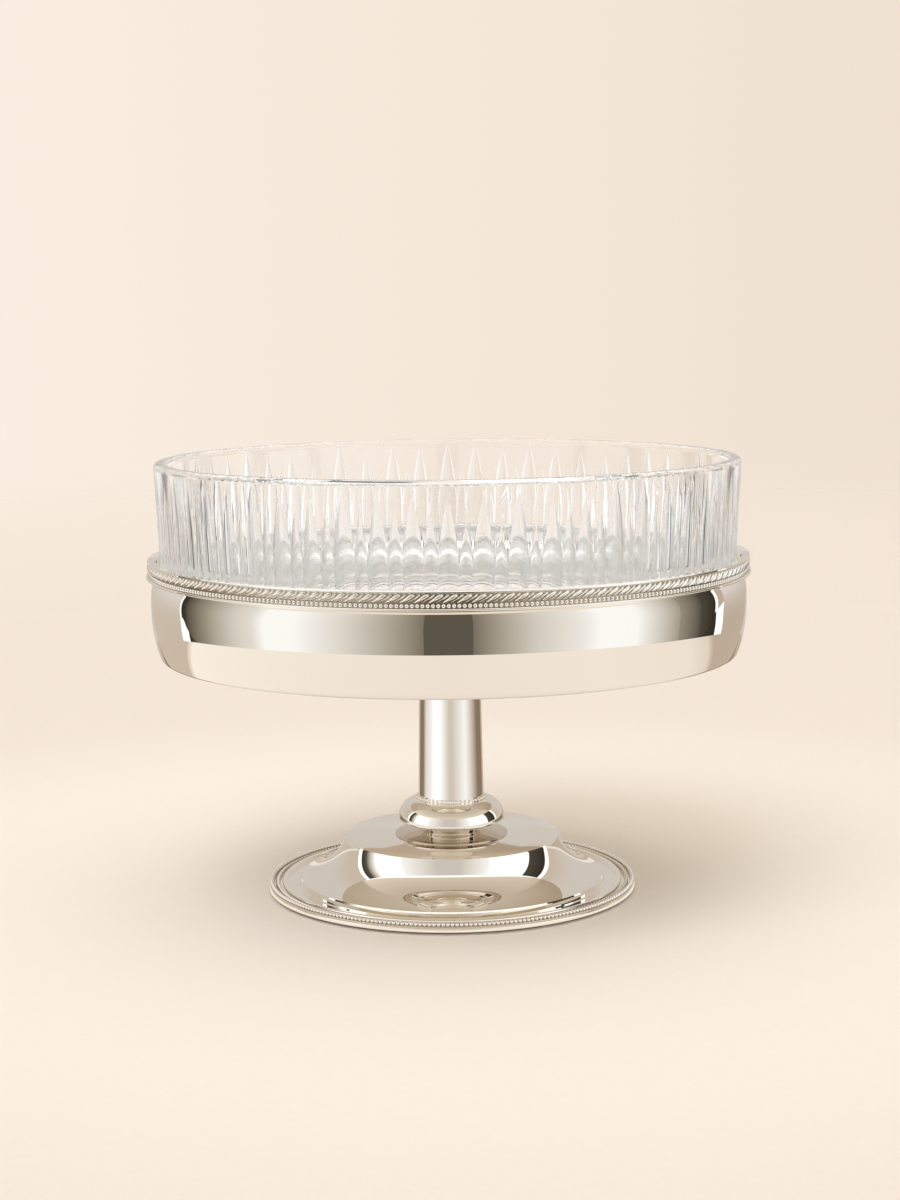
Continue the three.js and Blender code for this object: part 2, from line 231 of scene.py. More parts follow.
@labelled
class StudioSettings(bpy.types.PropertyGroup):
    """Camera, floor, light and the cards that the silver mirrors."""
    camera_distance: length("From the bowl's axis", 0.931)
    camera_height: length("Above the floor", 0.2482)
    camera_aside: length("Sideways from the bowl's axis", 0.00045)
    camera_pitch: angle("Downward tilt", 7.695)
    camera_roll: angle("Roll about the view", -0.638)
    camera_lens: number("Focal length in millimetres", 67.2)
    # painted light: the paper round the foot is lighter than further out, a painted pool of light
    floor_near_painted_light: colour("Cream paper round the foot", (0.985, 0.897, 0.795))
    floor_far: colour("Cream paper further out", (0.870, 0.770, 0.675))
    backdrop_left: colour("Cream backdrop, lit side", (0.960, 0.868, 0.766))
    backdrop_right: colour("Cream backdrop, far side", (0.862, 0.742, 0.626))
    ambient: factor("Level of the light from all round", 0.07, 4.0)
    key: factor("Level of the soft light from above the front", 0.66, 10.0)
    fill: factor("Level of the fill that casts no shadow", 2.56, 10.0)
    card_radius: length("Distance of the cards from the axis", 0.45)
    card_base: length("Height of the cards' lower edge", 0.0305)
    card_height: length("Height of the cards' upper edge", 0.42)


def edit(editing):
    """Go into edit mode or out of it."""
    bpy.ops.object.mode_set(mode="EDIT" if editing else "OBJECT")


def select_mesh():
    bpy.ops.mesh.select_all(action="SELECT")


def deselect_all():
    if bpy.context.mode != "OBJECT":
        edit(False)
    bpy.ops.object.select_all(action="DESELECT")


def pick(piece):
    deselect_all()
    piece.select_set(True)
    bpy.context.view_layer.objects.active = piece


def eased(corners):
    """Round each (radius, height, easing) corner of a closed outline; an easing of 0 stays sharp."""
    outline = []
    for i, (*point, easing) in enumerate(corners):
        here = Vector(point)
        if not easing:
            outline.append(tuple(here))
            continue
        before = Vector(corners[i - 1][:2])
        after = Vector(corners[(i + 1) % len(corners)][:2])
        start = here + (before - here).normalized() * easing
        end = here + (after - here).normalized() * easing
        for step in range(EASING_STEPS + 1):
            t = step / EASING_STEPS
            outline.append(tuple(start * (1 - t) ** 2 + here * 2 * t * (1 - t) + end * t ** 2))
    return outline


def sweep(start, pull_a, pull_b, end, steps):
    """Points along a Bezier curve in the (radius, height) plane."""
    a, b, c, d = (Vector(p) for p in (start, pull_a, pull_b, end))
    shares = [i / steps for i in range(steps + 1)]
    return [tuple(a * (1 - t) ** 3 + b * 3 * t * (1 - t) ** 2 + c * 3 * t ** 2 * (1 - t) + d * t ** 3)
            for t in shares]


def quarter(centre, radius, start, steps=8):
    """A quarter circle in the (radius, height) plane, turning left from a start in degrees."""
    turns = [math.radians(start + 90 * i / steps) for i in range(steps + 1)]
    return [(centre[0] + radius * math.cos(t), centre[1] + radius * math.sin(t)) for t in turns]


def spun(name, outline, steps):
    """Spin an outline of (radius, height) points about the axis into one closed body."""
    deselect_all()
    bpy.ops.mesh.primitive_circle_add(vertices=len(outline), radius=1)
    piece = bpy.context.object
    piece.name = piece.data.name = name
    for vertex, (radius, height) in zip(piece.data.vertices, outline):
        vertex.co = (radius, 0, height)
    if outline[0][0] == 0 and outline[-1][0] == 0:
        ends = {0, len(outline) - 1}
        edit(True)
        bpy.ops.mesh.select_mode(type="EDGE")
        bpy.ops.mesh.select_all(action="DESELECT")
        edit(False)
        for edge in piece.data.edges:
            edge.select = set(edge.vertices) == ends
        edit(True)
        bpy.ops.mesh.delete(type="EDGE")
        bpy.ops.mesh.select_mode(type="VERT")
    else:
        edit(True)
    select_mesh()
    bpy.ops.mesh.spin(steps=steps, angle=2 * math.pi, center=CENTRE, axis=UPWARDS)
    select_mesh()
    bpy.ops.mesh.remove_doubles(threshold=WELD)
    bpy.ops.mesh.normals_make_consistent(inside=False)
    edit(False)
    return piece


def band(name, inner, outer, low, high, easings, steps):
    """A ring of rectangular section, eased from its inner low corner round by the outer side."""
    corners = zip((inner, outer, outer, inner), (low, low, high, high), easings)
    return spun(name, eased(list(corners)), steps)


def joined(name, pieces):
    """Join copies into one piece that sits at the origin."""
    deselect_all()
    for piece in pieces:
        piece.select_set(True)
    bpy.context.view_layer.objects.active = pieces[0]
    bpy.ops.object.join()
    whole = bpy.context.object
    whole.name = whole.data.name = name
    bpy.ops.object.transform_apply(location=True, rotation=True, scale=True)
    return whole


def ringed(name, piece, number, start=0.0, change=None):
    """Copies of a piece turned about the axis, each with its own mesh, joined into one."""
    pick(piece)
    bpy.ops.object.transform_apply(location=True, rotation=True, scale=True)
    copies = []
    for i in range(number):
        copy = piece.copy()
        copy.data = piece.data.copy()
        if change is not None:
            change(copy.data)
        copy.data.transform(Matrix.Rotation(start + 2 * math.pi * i / number, 4, "Z"))
        bpy.context.scene.collection.objects.link(copy)
        copies.append(copy)
    bpy.data.objects.remove(piece)
    return joined(name, copies)


def cut(body, cutter):
    """Cut one solid with another and throw the cutter away."""
    pick(body)
    modifier = body.modifiers.new("Cut", "BOOLEAN")
    modifier.operation = "DIFFERENCE"
    modifier.solver = "EXACT"
    modifier.object = cutter
    bpy.ops.object.modifier_apply(modifier=modifier.name)
    bpy.data.objects.remove(cutter)


def coat(piece, material):
    """Give a piece one material and no other."""
    piece.data.materials.clear()
    piece.data.materials.append(material)


def finish_piece(piece, degrees, material, node, body="stand"):
    """Shade a piece smooth below an angle, coat it, hide the CAD part that it stands for and hang it
    from what carries it.
    """
    pick(piece)
    bpy.ops.object.shade_smooth_by_angle(angle=math.radians(degrees))
    coat(piece, material)
    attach(piece, body)
    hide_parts(node)


class Tree:
    """The nodes of one material or world. A value in a call is a socket, a number or a colour."""

    def __init__(self, owner):
        owner.use_nodes = True
        self.nodes, self.links = owner.node_tree.nodes, owner.node_tree.links
        self.nodes.clear()

    def feed(self, node, inputs):
        """Link or set the inputs of a node, given by name or in their order."""
        for name, value in inputs.items() if isinstance(inputs, dict) else enumerate(inputs):
            socket = node.inputs[name]
            if hasattr(value, "is_output"):
                self.links.new(value, socket)
            else:
                socket.default_value = (*value, 1) if socket.type == "RGBA" else value
        return node

    def add(self, kind, inputs=(), **settings):
        node = self.nodes.new("ShaderNode" + kind)
        for name, value in settings.items():
            setattr(node, name, value)
        return self.feed(node, inputs)

    def place(self, kind="Object"):
        return self.add("TexCoord").outputs[kind]

    def ray(self):
        """What is known of the ray that looks: its kind and its length."""
        return self.add("LightPath").outputs

    def noise(self, place, scale, detail=3.0, roughness=0.5):
        inputs = {"Vector": place, "Scale": scale, "Detail": detail, "Roughness": roughness}
        return self.add("TexNoise", inputs).outputs["Fac"]

    def range(self, value, low, high, out_low=0.0, out_high=1.0):
        """Map a value from one range to another, clamped."""
        return self.add("MapRange", (value, low, high, out_low, out_high)).outputs["Result"]

    def mix(self, share, first, second):
        """Mix two colours by a share."""
        inputs = {"Factor": share, "A": first, "B": second}
        return self.add("Mix", inputs, data_type="RGBA").outputs["Result"]

    def math(self, operation, *values):
        return self.add("Math", values, operation=operation).outputs["Value"]

    def product(self, first, *others):
        for other in others:
            first = self.math("MULTIPLY", first, other)
        return first

    def vector(self, operation, *values, result="Vector"):
        return self.add("VectorMath", values, operation=operation).outputs[result]

    def scaled(self, vector, share):
        return self.add("VectorMath", {0: vector, "Scale": share}, operation="SCALE").outputs["Vector"]

    def flat(self, place):
        """A point moved straight down to the height of the floor."""
        return self.vector("MULTIPLY", place, (1, 1, 0))

    def radius(self, place):
        """Distance of a point from the bowl's axis."""
        return self.vector("LENGTH", self.flat(place), result="Value")

    def split(self, place):
        return tuple(self.add("SeparateXYZ", (place,)).outputs)

    def turn(self, place):
        """Degrees round the bowl from the front, less to the left and more to the right."""
        x, y, _ = self.split(place)
        angle = self.math("ARCTAN2", x, self.math("MULTIPLY", y, -1.0))
        return self.math("MULTIPLY", angle, math.degrees(1))

    def panels(self, turn, panels, dim, bright):
        """Light round the bowl: a start and panels of (end, level at start, level at end), in degrees.

        A low level takes the dim tint and a high one the bright tint.
        """
        start, *panels = panels
        level = None
        for end, first, last in panels:
            here = self.range(turn, start, end, first, last)
            if level is not None:
                inputs = {"Factor": self.math("GREATER_THAN", turn, start), "A": level, "B": here}
                here = self.add("Mix", inputs).outputs["Result"]
            start, level = end, here
        return self.scaled(self.mix(level, dim, bright), level)

    def bump(self, height, strength, distance):
        inputs = {"Strength": strength, "Distance": distance, "Height": height}
        return self.add("Bump", inputs).outputs["Normal"]

    def glow(self, tone):
        return self.add("Emission", {"Color": tone}).outputs["Emission"]

    def background(self, tone, strength=1.0):
        return self.add("Background", {"Color": tone, "Strength": strength}).outputs["Background"]

    def blend(self, share, first, second):
        """Mix two shaders by a share."""
        return self.add("MixShader", (share, first, second)).outputs["Shader"]


def new_material(name):
    """A node material with its tree, its shader and Object coordinates."""
    material = bpy.data.materials.new(name)
    tree = Tree(material)
    shader = tree.add("BsdfPrincipled")
    tree.add("OutputMaterial", {"Surface": shader.outputs["BSDF"]})
    return material, tree, shader, tree.place()


def light_material(name):
    """A node material that only gives light, with its tree and Object coordinates."""
    material = bpy.data.materials.new(name)
    tree = Tree(material)
    return material, tree, tree.place()


NOISE_SPREAD = (0.3, 0.7)


def all_looks():
    return bpy.context.scene.bowl_finishes


def tinted(tone, *shares):
    return tuple(channel * share for channel, share in zip(tone, shares))


def mirror_silver(name, tone):
    """Mirror-polished plate: a faint cloud in the polish and in the tone."""
    polish = all_looks().silver_polish
    material, tree, shader, place = new_material(name)
    cloud = tree.noise(place, scale=38.0)
    wipe = tree.noise(place, scale=900.0, detail=5.0, roughness=0.7)
    tree.feed(shader, {
        "Metallic": 1.0, "Base Color": tree.mix(cloud, tone, tinted(tone, 1.0, 0.99, 0.97)),
        "Roughness": tree.range(wipe, *NOISE_SPREAD, polish * 0.6, polish * 1.5),
    })
    return material, tree, shader, place


def polished_silver():
    return mirror_silver("polished silver plate", all_looks().silver)[0]


def inside_silver_painted_light():
    """The inner face of the bowl, in a brighter silver than the outside as painted light, so that it
    stays bright behind the glass.
    """
    return mirror_silver("bright inside", all_looks().silver_inside_painted_light)[0]


def toned_silver():
    """The underside of the bowl, darkened as painted shade under the bowl."""
    return mirror_silver("toned silver plate", all_looks().silver_underside_painted_shade)[0]


def worn_silver():
    """The collar, darkened as painted shade under the knop."""
    return mirror_silver("worn silver plate", all_looks().silver_collar_painted_shade)[0]


DOME_FADE = 0.0004
SHOULDER_FADE = 0.0008
TOP_SKIN = (-0.0005, -0.0001)
DOME_BLUR = 0.07


def domed_silver():
    """Mirror polish whose flat top was buffed to a faint dome, so that its reflections lean out."""
    sizes = bpy.context.scene.bowl_foot
    tone = all_looks().silver
    material, tree, shader, place = mirror_silver("domed silver plate", tone)
    radius, height = tree.radius(place), tree.split(place)[2]
    start, shoulder, high = sizes.dome_start, sizes.shoulder_radius, top("foot_shell")
    share = tree.product(
        tree.range(radius, start - DOME_FADE, start),
        tree.range(radius, shoulder - SHOULDER_FADE, shoulder, 1.0, 0.0),
        tree.range(height, high + TOP_SKIN[0], high + TOP_SKIN[1]),
    )
    lean = tree.product(share, math.tan(sizes.dome_slope))
    shift = tree.scaled(tree.vector("NORMALIZE", tree.flat(place)), lean)
    tilted = tree.vector("ADD", tree.add("NewGeometry").outputs["Normal"], shift)
    polish = shader.inputs["Roughness"].links[0].from_socket
    tree.feed(shader, {"Normal": tree.vector("NORMALIZE", tilted),
                       "Roughness": tree.math("MULTIPLY_ADD", share, DOME_BLUR, polish)})
    return material


def border_silver(name, across, recess_at, crest_at, recess=None):
    """Cast silver: bright on the crests and darker in the recesses as painted shade, across the radius
    or the height.
    """
    looks = all_looks()
    material, tree, shader, place = new_material(name)
    depth = tree.radius(place) if across == "radius" else tree.split(place)[2]
    crest = tree.range(depth, recess_at, crest_at)
    grain = tree.noise(place, scale=1400.0, detail=4.0)
    low, high = looks.border_polish * 0.5, looks.border_polish * 1.6
    tree.feed(shader, {
        # painted shade: darker silver towards the recess
        "Metallic": 1.0, "Base Color": tree.mix(crest, recess or looks.silver_recess_painted_shade, looks.silver),
        "Roughness": tree.range(grain, *NOISE_SPREAD, low, high),
    })
    return material


def cut_crystal():
    """Lead crystal: clear and bright, with the faintest ripple left by the polishing."""
    looks = all_looks()
    material, tree, shader, place = new_material("cut crystal")
    cloud, wipe = tree.noise(place, scale=25.0), tree.noise(place, scale=300.0)
    ripple = tree.noise(place, scale=160.0, detail=2.0)
    tree.feed(shader, {
        "Transmission Weight": 1.0, "IOR": looks.crystal_bend,
        "Base Color": tree.mix(cloud, looks.crystal, tinted(looks.crystal, 0.994, 0.998, 1.0)),
        "Roughness": tree.range(wipe, *NOISE_SPREAD, 0.0, 0.004),
        "Normal": tree.bump(ripple, strength=0.03, distance=0.0002),
    })
    return material


def turned_metal(name, tone, low, high):
    """Machined metal: fine turning lines that follow the distance from the axis."""
    material, tree, shader, place = new_material(name)
    cloud = tree.noise(place, scale=220.0)
    inputs = {"Vector": place, "Scale": 900.0, "Distortion": 1.5}
    lines = tree.add("TexWave", inputs, wave_type="RINGS", rings_direction="Z").outputs["Fac"]
    tree.feed(shader, {
        "Metallic": 1.0, "Base Color": tree.mix(cloud, tone, tinted(tone, 0.72, 0.72, 0.72)),
        "Roughness": tree.range(lines, 0.0, 1.0, low, high),
        "Normal": tree.bump(lines, strength=0.3, distance=0.00002),
    })
    return material


def wool_felt():
    """Pressed felt: a matted nap, darker in its pits as painted shade."""
    tone = all_looks().felt
    material, tree, shader, place = new_material("wool felt")
    nap = tree.noise(place, scale=1800.0, detail=6.0, roughness=0.75)
    tree.feed(shader, {
        "Base Color": tree.mix(nap, tone, tinted(tone, 2.2, 2.2, 2.2)), "Roughness": 0.95,
        "Sheen Weight": 0.3, "Normal": tree.bump(nap, strength=0.9, distance=0.0003),
    })
    return material


def soft_pad():
    """Soft ring under the glass: matt, with a light mottle."""
    tone = all_looks().pad
    material, tree, shader, place = new_material("soft pad")
    mottle = tree.noise(place, scale=500.0, detail=4.0)
    tree.feed(shader, {
        "Base Color": tree.mix(mottle, tone, tinted(tone, 0.85, 0.85, 0.85)), "Roughness": 0.7,
        "Normal": tree.bump(mottle, strength=0.4, distance=0.0001),
    })
    return material


def shared(make):
    """Make a material once and give the same one to every later piece."""
    name = make.__name__.replace("_", " ") + " finish"
    found = bpy.data.materials.get(name)
    if found is None:
        found = make()
        found.name = name
    return found


GUARD = 0.0004
CUTTER_POINTS = 13
CUTTER_LOFTS = 12
CUTTER_CLEAR = 0.5
CUTTER_FOOT = 0.002
STRAIGHT_MARGIN = 0.002
INNER_CORNER = 0.7
TIP_POWER = 1.9
TIP_SHARE = 0.012


def glass_radius(sizes, height):
    return sizes.rim_radius - sizes.taper * (sizes.rim_height - height)


def liner_outline(sizes):
    """Underside, rounded corner, tapered wall, eased rim, inner wall and floor.

    Guard points close to the rounded parts keep the long faces of the wall flat in their shading.
    """
    base, rim = sizes.base_height, sizes.rim_height
    ease, corner = sizes.rim_easing, sizes.corner
    inner_corner = corner * INNER_CORNER
    inner_floor = base + sizes.floor
    outer = glass_radius(sizes, base + corner)
    inner = glass_radius(sizes, inner_floor + inner_corner) - sizes.wall
    mouth = sizes.rim_radius - sizes.wall
    wall_foot, wall_head = base + corner + GUARD, rim - ease - GUARD
    well_foot = inner_floor + inner_corner + GUARD
    well = quarter((inner - inner_corner, inner_floor + inner_corner), inner_corner, -90)
    return [
        (0, base), *quarter((outer - corner, base + corner), corner, -90),
        (glass_radius(sizes, wall_foot), wall_foot), (glass_radius(sizes, wall_head), wall_head),
        *quarter((sizes.rim_radius - ease, rim - ease), ease, 0, 6),
        *quarter((mouth + ease, rim - ease), ease, 90, 6),
        (glass_radius(sizes, wall_head) - sizes.wall, wall_head),
        (glass_radius(sizes, well_foot) - sizes.wall, well_foot), *well[::-1], (0, inner_floor),
    ]


def flute_cutter(name, sizes, half_width, depth, tip, onset):
    """One wheel-shaped cutter at the front of the glass, drawn in to a point at its tip."""
    wheel = (half_width ** 2 + depth ** 2) / (2 * depth)
    spread = math.acos((wheel - depth - depth * CUTTER_CLEAR) / wheel)
    foot = sizes.base_height + CUTTER_FOOT
    tip_height = sizes.rim_height - tip
    deselect_all()
    bpy.ops.mesh.primitive_circle_add(vertices=CUTTER_POINTS, radius=1, fill_type="NGON")
    cutter = bpy.context.object
    surface = glass_radius(sizes, foot)
    for i, vertex in enumerate(cutter.data.vertices):
        turn = spread * (2 * i / (CUTTER_POINTS - 1) - 1)
        inward = wheel * math.cos(turn) - (wheel - depth)
        vertex.co = (wheel * math.sin(turn), -(surface - inward), foot)
    heights = [tip_height - onset * (1 - i / CUTTER_LOFTS) for i in range(CUTTER_LOFTS + 1)]
    edit(True)
    select_mesh()
    scale, height = 1.0, foot
    for next_height in heights:
        rise = next_height - height
        left = (tip_height - next_height) / onset
        next_scale = max(1 - (1 - left) ** TIP_POWER, TIP_SHARE)
        shift = (0, -sizes.taper * rise, rise)
        bpy.ops.mesh.extrude_region_move(TRANSFORM_OT_translate={"value": shift})
        pivot = (0, -glass_radius(sizes, next_height), next_height)
        share = next_scale / scale
        bpy.ops.transform.resize(value=(share, share, 1), center_override=pivot)
        scale, height = next_scale, next_height
    select_mesh()
    bpy.ops.mesh.normals_make_consistent(inside=False)
    edit(False)
    cutter.name = name
    return cutter


def stray_tips(sizes, seed):
    """A change for each copy of a cutter that moves its tip and its width a little."""
    chance = random.Random(seed)
    straight_end = sizes.rim_height - sizes.tall_tip - sizes.tall_onset - STRAIGHT_MARGIN

    def change(mesh):
        stray = chance.uniform(-1, 1) * sizes.tip_scatter
        spread = 1 + chance.uniform(-1, 1) * sizes.width_scatter
        for vertex in mesh.vertices:
            vertex.co.x *= spread
            if vertex.co.z > straight_end:
                vertex.co.z += stray
    return change


class BOWL_OT_crystal_liner(bpy.types.Operator):
    """Cut crystal liner with tall and short pointed flutes"""
    bl_idname = "fruit_bowl.crystal_liner"
    bl_label = "Crystal liner"

    def execute(self, context):
        sizes = context.scene.bowl_liner
        glass = spun("cut_crystal_liner", liner_outline(sizes), GLASS_STEPS)
        flutes = (
            ("tall", sizes.tall_width, sizes.tall_depth, sizes.tall_tip, sizes.tall_onset, 0, 3),
            ("short", sizes.short_width, sizes.short_depth, sizes.short_tip, sizes.short_onset,
             math.pi / sizes.flute_pairs, 8),
        )
        for name, *shape, start, seed in flutes:
            cutter = flute_cutter(name + " cutter", sizes, *shape)
            stray = stray_tips(sizes, seed)
            cut(glass, ringed(name + " cutters", cutter, sizes.flute_pairs, start, stray))
        finish_piece(glass, GLASS_ANGLE, shared(cut_crystal), "crystal_liner", "liner")
        return {"FINISHED"}


BORDER_LAP = 0.0003
FACING_DOWN, FACING_IN, FACING_UP = -0.9, -0.3, 0.5


def wall_start(sizes):
    """Height above the underside at which the flank meets the border."""
    return bottom("bowl_fillet_wire") - sizes.under_height - BORDER_LAP


def flank_radius(sizes, height):
    """Outer radius of the bowl at a height above its underside."""
    belly = sizes.wall_radius + sizes.belly_bulge
    if height <= sizes.belly_rise:
        fall = (sizes.belly_rise - height) / sizes.belly_rise
        return belly - sizes.belly_drop * fall ** sizes.belly_power
    climb = min((height - sizes.belly_rise) / (wall_start(sizes) - sizes.belly_rise), 1)
    return belly - sizes.belly_bulge * climb ** sizes.belly_power


class BOWL_OT_silver_bowl(bpy.types.Operator):
    """Spun silver bowl with a bellied flank and a flat lip"""
    bl_idname = "fruit_bowl.silver_bowl"
    bl_label = "Silver bowl"

    def execute(self, context):
        sizes = context.scene.bowl_bowl
        under, lip, sheet = sizes.under_height, sizes.lip_height, sizes.sheet
        wall, brim, lower = sizes.wall_radius, sizes.lip_radius, flank_radius(sizes, 0)
        ease = sizes.edge_easing
        rise = [ease + (wall_start(sizes) - ease) * i / FLANK_STEPS for i in range(FLANK_STEPS + 1)]
        flank = [(flank_radius(sizes, h), under + h) for h in rise]
        edge = sweep((lower - ease, under), (lower - ease * 0.4, under),
                     (flank_radius(sizes, ease * 0.5), under + ease * 0.4), flank[0], 6)
        inner_flank = [(r - sheet, z) for r, z in flank if z > under + sheet * 2.4]
        bowl = spun("silver_bowl", [
            (0, under), (lower - ease * 1.5, under), *edge, *flank[1:], (wall, lip - sheet),
            (brim - 0.0003, lip - sheet), (brim, lip - sheet + 0.0002), (brim, lip - 0.00025),
            (brim - 0.00025, lip), (wall - sheet + 0.0005, lip), (wall - sheet, lip - 0.0005),
            *inner_flank[::-1], (lower - sheet - ease * 2, under + sheet), (0, under + sheet),
        ], BOWL_STEPS)
        finish_piece(bowl, SHEET_ANGLE, shared(polished_silver), "bowl_shell")
        # The inside faces take the brightened silver (painted light) and the faces under the bowl the
        # darkened silver (painted shade).
        for finish in (inside_silver_painted_light(), shared(toned_silver)):
            bowl.data.materials.append(finish)
        for face in bowl.data.polygons:
            middle, across = face.center, face.center.xy.normalized()
            facing_up = face.normal.z > FACING_UP and middle.z < lip - sheet
            if face.normal.z < FACING_DOWN and middle.xy.length < lower - ease * 2:
                face.material_index = 2
            elif face.normal.xy.dot(across) < FACING_IN or facing_up:
                face.material_index = 1
        return {"FINISHED"}


TAIL_BREADTH = 0.45
SWEEP_POWER = 1.6
LOBE_CLEAR = 0.00015
GROUND_DEPTH = 0.0028
WIRE_DEPTH = 0.0026
LOBE_HEIGHT, REED_HEIGHT = 0.98, 0.94


def leaning_lobe(radius, middle, half_width, stand, half_height, lean, segments, rings):
    """One curved lobe at the front: a tall ball, broad at its head, its tail swept to the left."""
    deselect_all()
    bpy.ops.mesh.primitive_uv_sphere_add(segments=segments, ring_count=rings, radius=1)
    lobe = bpy.context.object
    for vertex in lobe.data.vertices:
        x, y, z = vertex.co
        climb = (z + 1) / 2
        broad = TAIL_BREADTH + (1 - TAIL_BREADTH) * climb
        swept = 1 - (1 - climb) ** SWEEP_POWER - 0.5
        across = x * half_width * broad + lean * swept
        vertex.co = (across, y * stand - radius, middle + z * half_height)
    return lobe


class BOWL_OT_gadroon_border(bpy.types.Operator):
    """Band of slanted gadroon lobes with a fine reed between each two"""
    bl_idname = "fruit_bowl.gadroon_border"
    bl_label = "Gadroon border"

    def execute(self, context):
        sizes = context.scene.bowl_border
        outer, low, high = extent("gadroon_border")
        middle, half_height = (low + high) / 2, (high - low) / 2
        inner, ground = outer - GROUND_DEPTH, outer - LOBE_CLEAR - sizes.lobe_stand
        back = band("gadroon ground", inner, ground, low, high, (0, 0.0002, 0.0002, 0), BOWL_STEPS)
        rows = (
            ("lobes", sizes.lobe_width, sizes.lobe_stand, LOBE_HEIGHT, 10, 8, 0),
            ("reeds", sizes.reed_width, sizes.reed_stand, REED_HEIGHT, 8, 7, math.pi / sizes.lobes),
        )
        parts = [back]
        for name, width, stand, height, segments, rings, start in rows:
            lobe = leaning_lobe(ground, middle, width, stand, half_height * height, sizes.lobe_lean,
                                segments, rings)
            parts.append(ringed(name, lobe, sizes.lobes, start))
        border = joined("gadroon_lobes", parts)
        # painted shade: the ground between the lobes is darker silver
        shaded = border_silver("gadroon silver", "radius", ground, ground + 0.0004)
        finish_piece(border, BEAD_ANGLE, shaded, "gadroon_border")
        return {"FINISHED"}


def bead_row(name, radius, height, bead_radius, number):
    """A ring of round beads."""
    deselect_all()
    bpy.ops.mesh.primitive_uv_sphere_add(segments=8, ring_count=6, radius=bead_radius,
                                         location=(0, -radius, height))
    return ringed(name, bpy.context.object, number)


class BOWL_OT_border_wires(bpy.types.Operator):
    """Bead wire and plain wire under the gadroon band"""
    bl_idname = "fruit_bowl.border_wires"
    bl_label = "Border wires"

    def execute(self, context):
        sizes = context.scene.bowl_border
        outer, low, high = extent("bowl_bead_wire")
        inner, seat = outer - WIRE_DEPTH, outer - sizes.bead_radius
        web = band("bead web", inner, seat, low, high, (0, 0.0001, 0.0001, 0), BOWL_STEPS)
        beads = bead_row("beads", seat, (low + high) / 2, sizes.bead_radius, sizes.beads)
        # painted shade: darker silver round the seat of the beads
        shaded = border_silver("bowl bead silver", "radius", seat, outer - 0.0005)
        row = joined("bowl_beads", [web, beads])
        finish_piece(row, BEAD_ANGLE, shaded, "bowl_bead_wire")
        outer, low, high = extent("bowl_fillet_wire")
        wire = band("bowl_plain_wire", inner, outer, low, high, (0, 0.00044, 0.00044, 0), BOWL_STEPS)
        finish_piece(wire, EDGE_ANGLE, shared(polished_silver), "bowl_fillet_wire")
        return {"FINISHED"}


RING_GAP = 0.00005
FLANGE = 0.0024
BOSS_TOP = 0.007
SPIGOT_GAP = 0.0003
BUSH_SEAT = 0.81


class BOWL_OT_stem(bpy.types.Operator):
    """Drawn tube, the bright ring round its foot and the boss under the bowl"""
    bl_idname = "fruit_bowl.stem"
    bl_label = "Stem"

    def execute(self, context):
        sizes = context.scene.bowl_stem
        polish = shared(polished_silver)
        foot, head, wall = sizes.foot_radius, sizes.head_radius, sizes.tube_wall
        _, low, seat = extent("stem_tube")
        tube = spun("drawn_tube", eased([
            (foot - wall, low, 0), (foot, low, 0.0002), (head, seat, 0.0002), (head - wall, seat, 0),
        ]), STEM_STEPS)
        finish_piece(tube, TUBE_ANGLE, polish, "stem_tube")
        outer, low, high = extent("stem_base_ring")
        inner, half = foot + RING_GAP, (high - low) / 2
        core = band("ring core", inner, inner + half * 0.6, low, high, (0, 0.0001, 0.0001, 0),
                    STEM_STEPS)
        beads = bead_row("ring beads", outer - half, low + half, half, sizes.ring_beads)
        ring = joined("stem_ring", [core, beads])
        finish_piece(ring, BEAD_ANGLE, polish, "stem_base_ring")
        flange, under, over = extent("bowl_boss")
        flange_under = over - FLANGE
        spigot = head - wall - SPIGOT_GAP
        cone = sweep((head, seat), (head, seat + 0.0049), (head + 0.0021, flange_under),
                     (head + 0.0056, flange_under), 16)
        boss = spun("turned_boss", [
            (0, over - BOSS_TOP), (sizes.bore, over - BOSS_TOP), (sizes.bore, under), (spigot, under),
            (spigot, seat), *cone, (flange - 0.0005, flange_under),
            *quarter((flange - 0.0005, flange_under + 0.0005), 0.0005, -90, 4)[1:],
            (flange, over - 0.0003), (flange - 0.0003, over), (0, over),
        ], STEM_STEPS)
        finish_piece(boss, SHEET_ANGLE, polish, "bowl_boss")
        return {"FINISHED"}


